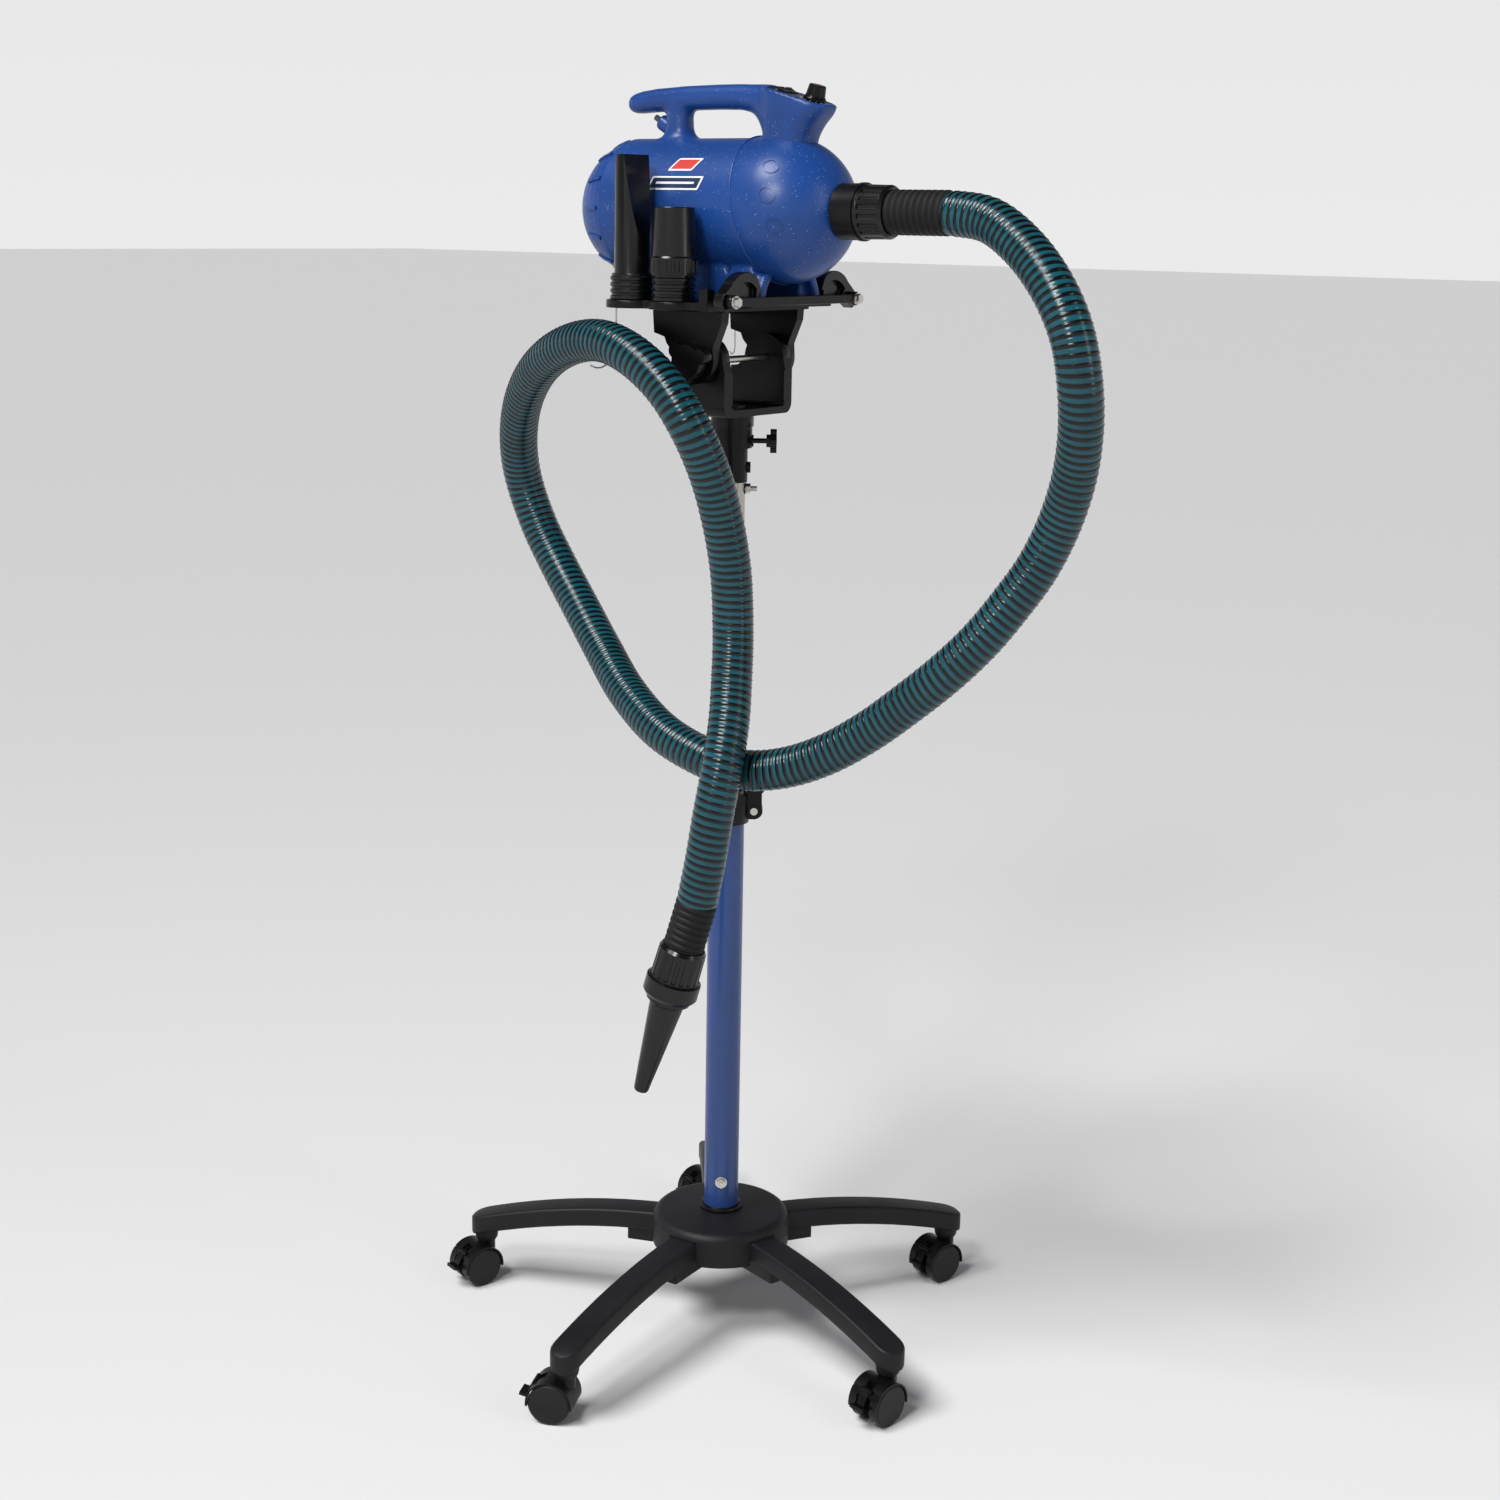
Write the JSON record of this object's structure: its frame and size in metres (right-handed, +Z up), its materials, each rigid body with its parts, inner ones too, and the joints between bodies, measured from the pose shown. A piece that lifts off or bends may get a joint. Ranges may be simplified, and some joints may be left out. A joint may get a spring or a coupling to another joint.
{
  "type": "pet grooming force dryer on stand",
  "caption": "Portable force dryer with a carrying handle, long ribbed hose and spare nozzles, tilting on a bracket on a height-adjustable post with a rolling star base.",
  "frame": {"origin": "on the post's axis at floor level, below the middle of the star base", "axes": "+Z up along the post, +X along the dryer's body towards its air outlet, +Y to the dryer's left side seen from behind"},
  "size_m": [0.8822, 0.6426, 1.51],
  "materials": {
    "black_plastic": "fine moulded texture",
    "blue_shell": "satin moulded",
    "blue_tube": "powder coat",
    "steel": "bright zinc",
    "hose_teal": "gloss ribbed vinyl",
    "wheel_black": "satin",
    "filter_foam": "open foam",
    "mount_rubber": "matt",
    "motor_metal": "cast"
  },
  "bodies": {
    "base": {"base_hub": "black_plastic", "base_arms": "black_plastic", "lower_tube": "blue_tube", "base_ring": "black_plastic", "tube_bolt": "steel", "guide_bush": "black_plastic", "height_collar": "black_plastic", "clamp_bolt": "steel"},
    "mast": {"mast_tube": "steel", "stop_bolt": "steel"},
    "swivel": {"mount_collar": "black_plastic", "yoke": "black_plastic", "hose": "hose_teal", "tip_cuff": "black_plastic"},
    "head": {"cradle": "black_plastic", "front_bar": "black_plastic", "nozzle_caddy": "black_plastic", "pivot_bolt": "steel", "cam_screws": "steel", "main_housing": "blue_shell", "front_cover": "blue_shell", "air_filter": "filter_foam", "control_panel": "black_plastic", "cord_gland": "black_plastic", "motor_case": "motor_metal", "motor_mounts": "mount_rubber", "motor_screws": "steel", "outlet_ring": "black_plastic", "hose_cuff": "black_plastic"},
    "height_knob": {"height_knob": "black_plastic"},
    "swivel_knob": {"swivel_knob": "black_plastic"},
    "tilt_knob": {"tilt_knob": "black_plastic"},
    "hose_nut": {"hose_nut": "black_plastic"},
    "tip_nut": {"tip_nut": "black_plastic", "taper_nozzle": "black_plastic"},
    "clamp_cam_near": {"clamp_cam_near": "black_plastic"},
    "clamp_cam_far": {"clamp_cam_far": "black_plastic"},
    "flat_nozzle": {"flat_nozzle": "black_plastic"},
    "round_nozzle": {"round_nozzle": "black_plastic"},
    "rear_cover": {"rear_cover": "blue_shell"},
    "speed_knob": {"speed_knob": "black_plastic"},
    "rocker_near": {"rocker_near": "black_plastic"},
    "rocker_far": {"rocker_far": "black_plastic"},
    "rotor": {"rotor": "motor_metal"},
    "hose_hanger": {"hose_hanger": "steel"},
    "caster_1": {"caster_1_housing": "black_plastic"},
    "caster_1_wheels": {"caster_1_wheels": "wheel_black"},
    "caster_1_brake": {"caster_1_brake": "black_plastic"},
    "caster_2": {"caster_2_housing": "black_plastic"},
    "caster_2_wheels": {"caster_2_wheels": "wheel_black"},
    "caster_2_brake": {"caster_2_brake": "black_plastic"},
    "caster_3": {"caster_3_housing": "black_plastic"},
    "caster_3_wheels": {"caster_3_wheels": "wheel_black"},
    "caster_3_brake": {"caster_3_brake": "black_plastic"},
    "caster_4": {"caster_4_housing": "black_plastic"},
    "caster_4_wheels": {"caster_4_wheels": "wheel_black"},
    "caster_4_brake": {"caster_4_brake": "black_plastic"},
    "caster_5": {"caster_5_housing": "black_plastic"},
    "caster_5_wheels": {"caster_5_wheels": "wheel_black"},
    "caster_5_brake": {"caster_5_brake": "black_plastic"}
  },
  "joints": [
    {"name": "height_slide", "type": "slide", "parent": "base", "child": "mast", "axis": [0, 0, 1], "range_m": [-0.19, 0.12]},
    {"name": "head_swivel", "type": "hinge", "parent": "mast", "child": "swivel", "pos_m": [0, 0, 1.12], "axis": [0, 0, 1], "continuous": true},
    {"name": "head_tilt", "type": "hinge", "parent": "swivel", "child": "head", "pos_m": [0.006, 0, 1.206], "axis": [0, 1, 0], "range_deg": [-20, 20], "deforming": ["hose"]},
    {"name": "height_knob_turn", "type": "hinge", "parent": "base", "child": "height_knob", "pos_m": [0.0267, 0.0194, 0.702], "axis": [0.5878, -0.809, 0], "range_deg": [-180, 180]},
    {"name": "swivel_knob_turn", "type": "hinge", "parent": "swivel", "child": "swivel_knob", "pos_m": [0.03236, 0.02351, 1.112], "axis": [0.809, 0.5878, 0], "range_deg": [-180, 180]},
    {"name": "tilt_knob_turn", "type": "hinge", "parent": "head", "child": "tilt_knob", "pos_m": [0.006, -0.08, 1.206], "axis": [0, -1, 0], "range_deg": [-180, 180]},
    {"name": "hose_nut_turn", "type": "hinge", "parent": "head", "child": "hose_nut", "pos_m": [0.195, 0, 1.373], "axis": [1, 0, 0], "range_deg": [-60, 0]},
    {"name": "tip_nut_turn", "type": "hinge", "parent": "swivel", "child": "tip_nut", "pos_m": [0.04486, -0.1544, 0.51027], "axis": [-0.246, -0.1044, -0.9636], "range_deg": [-60, 0]},
    {"name": "clamp_cam_near_swing", "type": "hinge", "parent": "head", "child": "clamp_cam_near", "pos_m": [0.075, -0.119, 1.275], "axis": [1, 0, 0], "range_deg": [0, 95]},
    {"name": "clamp_cam_far_swing", "type": "hinge", "parent": "head", "child": "clamp_cam_far", "pos_m": [0.075, 0.119, 1.275], "axis": [-1, 0, 0], "range_deg": [0, 95]},
    {"name": "flat_nozzle_lift", "type": "slide", "parent": "head", "child": "flat_nozzle", "axis": [0, 0, 1], "range_m": [0, 0.06]},
    {"name": "round_nozzle_lift", "type": "slide", "parent": "head", "child": "round_nozzle", "axis": [0, 0, 1], "range_m": [0, 0.06]},
    {"name": "rear_cover_off", "type": "slide", "parent": "head", "child": "rear_cover", "axis": [-1, 0, 0], "range_m": [0, 0.06]},
    {"name": "speed_turn", "type": "hinge", "parent": "head", "child": "speed_knob", "pos_m": [0.10596, 0, 1.49147], "axis": [0.2588, 0, 0.9659], "range_deg": [0, 270]},
    {"name": "rocker_near_press", "type": "hinge", "parent": "head", "child": "rocker_near", "pos_m": [0.0696, -0.0068, 1.50069], "axis": [0, -1, 0], "range_deg": [0, 14]},
    {"name": "rocker_far_press", "type": "hinge", "parent": "head", "child": "rocker_far", "pos_m": [0.0696, 0.0068, 1.50069], "axis": [0, -1, 0], "range_deg": [0, 14]},
    {"name": "rotor_spin", "type": "hinge", "parent": "head", "child": "rotor", "pos_m": [0, 0, 1.373], "axis": [1, 0, 0], "continuous": true},
    {"name": "hanger_swing", "type": "hinge", "parent": "head", "child": "hose_hanger", "pos_m": [-0.104, -0.0865, 1.273], "axis": [0, 1, 0], "range_deg": [-6, 6]},
    {"name": "caster_1_swivel", "type": "hinge", "parent": "base", "child": "caster_1", "pos_m": [0.30813, -0.08256, 0.065], "axis": [0, 0, 1], "continuous": true},
    {"name": "caster_1_roll", "type": "hinge", "parent": "caster_1", "child": "caster_1_wheels", "pos_m": [0.30563, -0.09837, 0.025], "axis": [0.9877, -0.1564, 0], "continuous": true},
    {"name": "caster_1_brake_press", "type": "hinge", "parent": "caster_1", "child": "caster_1_brake", "pos_m": [0.30247, -0.11832, 0.0452], "axis": [0.9877, -0.1564, 0], "range_deg": [0, 12]},
    {"name": "caster_2_swivel", "type": "hinge", "parent": "base", "child": "caster_2", "pos_m": [0.17374, 0.26754, 0.065], "axis": [0, 0, 1], "continuous": true},
    {"name": "caster_2_roll", "type": "hinge", "parent": "caster_2", "child": "caster_2_wheels", "pos_m": [0.16933, 0.25216, 0.025], "axis": [0.9613, -0.2756, 0], "continuous": true},
    {"name": "caster_2_brake_press", "type": "hinge", "parent": "caster_2", "child": "caster_2_brake", "pos_m": [0.16376, 0.23274, 0.0452], "axis": [0.9613, -0.2756, 0], "range_deg": [0, 12]},
    {"name": "caster_3_swivel", "type": "hinge", "parent": "base", "child": "caster_3", "pos_m": [-0.20075, 0.24791, 0.065], "axis": [0, 0, 1], "continuous": true},
    {"name": "caster_3_roll", "type": "hinge", "parent": "caster_3", "child": "caster_3_wheels", "pos_m": [-0.20623, 0.23287, 0.025], "axis": [0.9397, -0.342, 0], "continuous": true},
    {"name": "caster_3_brake_press", "type": "hinge", "parent": "caster_3", "child": "caster_3_brake", "pos_m": [-0.21313, 0.21389, 0.0452], "axis": [0.9397, -0.342, 0], "range_deg": [0, 12]},
    {"name": "caster_4_swivel", "type": "hinge", "parent": "base", "child": "caster_4", "pos_m": [-0.29781, -0.11432, 0.065], "axis": [0, 0, 1], "continuous": true},
    {"name": "caster_4_roll", "type": "hinge", "parent": "caster_4", "child": "caster_4_wheels", "pos_m": [-0.30222, -0.1297, 0.025], "axis": [0.9613, -0.2756, 0], "continuous": true},
    {"name": "caster_4_brake_press", "type": "hinge", "parent": "caster_4", "child": "caster_4_brake", "pos_m": [-0.30779, -0.14912, 0.0452], "axis": [0.9613, -0.2756, 0], "range_deg": [0, 12]},
    {"name": "caster_5_swivel", "type": "hinge", "parent": "base", "child": "caster_5", "pos_m": [0.0167, -0.31856, 0.065], "axis": [0, 0, 1], "continuous": true},
    {"name": "caster_5_roll", "type": "hinge", "parent": "caster_5", "child": "caster_5_wheels", "pos_m": [0.00208, -0.32507, 0.025], "axis": [0.4067, -0.9135, 0], "continuous": true},
    {"name": "caster_5_brake_press", "type": "hinge", "parent": "caster_5", "child": "caster_5_brake", "pos_m": [-0.01638, -0.33329, 0.0452], "axis": [0.4067, -0.9135, 0], "range_deg": [0, 12]}
  ]
}
